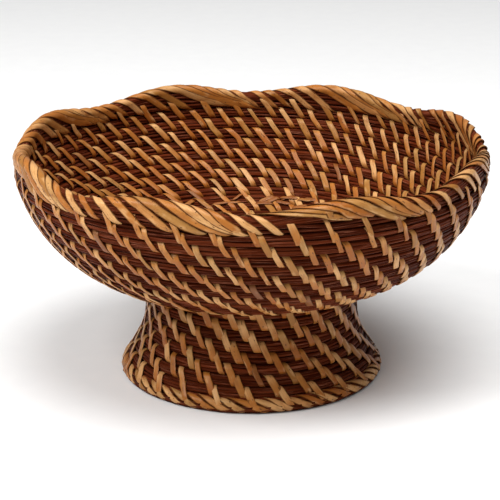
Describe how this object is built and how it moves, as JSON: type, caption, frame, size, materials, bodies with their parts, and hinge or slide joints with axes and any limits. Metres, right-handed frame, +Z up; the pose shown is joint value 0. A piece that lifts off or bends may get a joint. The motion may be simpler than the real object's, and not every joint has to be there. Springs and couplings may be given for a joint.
{
  "type": "footed fruit basket",
  "caption": "Round coiled basket bowl on a flared foot, dark reed turns lashed with pale cane, with a wavy wrapped rim.",
  "frame": {"origin": "centre of the foot, on the plane it stands on", "axes": "+Z up through the middle of the bowl and the foot, -Y towards a dip in the rim"},
  "size_m": [0.281, 0.281, 0.1451],
  "materials": {
    "reed": "dark stained reed bundles with a low gloss",
    "cane": "natural split cane with its glossy skin outwards",
    "wrap_cane": "wider natural cane with its glossy skin outwards"
  },
  "bodies": {
    "root": {"centre_knot": "reed", "floor_coil_1": "reed", "floor_coil_2": "reed", "floor_coil_3": "reed", "floor_coil_4": "reed", "floor_coil_5": "reed", "floor_coil_6": "reed", "floor_coil_7": "reed", "wall_coil_01": "reed", "wall_coil_02": "reed", "wall_coil_03": "reed", "wall_coil_04": "reed", "wall_coil_05": "reed", "wall_coil_06": "reed", "wall_coil_07": "reed", "wall_coil_08": "reed", "wall_coil_09": "reed", "wall_coil_10": "reed", "wall_coil_11": "reed", "wall_coil_12": "reed", "wall_coil_13": "reed", "wall_coil_14": "reed", "wall_coil_15": "reed", "wall_coil_16": "reed", "rim_coil": "reed", "rim_fillers": "reed", "foot_coil_1": "reed", "foot_coil_2": "reed", "foot_coil_3": "reed", "foot_coil_4": "reed", "foot_coil_5": "reed", "foot_coil_6": "reed", "foot_coil_7": "reed", "foot_coil_8": "reed", "foot_hoop": "reed", "floor_lashings_inner": "cane", "floor_lashings_outer": "cane", "wall_lashings_1": "cane", "wall_lashings_2": "cane", "wall_lashings_3": "cane", "wall_lashings_4": "cane", "wall_lashings_5": "cane", "foot_lashings_upper": "cane", "foot_lashings_lower": "cane", "rim_ties": "wrap_cane", "rim_wraps": "wrap_cane", "hoop_ties": "wrap_cane", "hoop_wraps": "wrap_cane"}
  },
  "joints": []
}
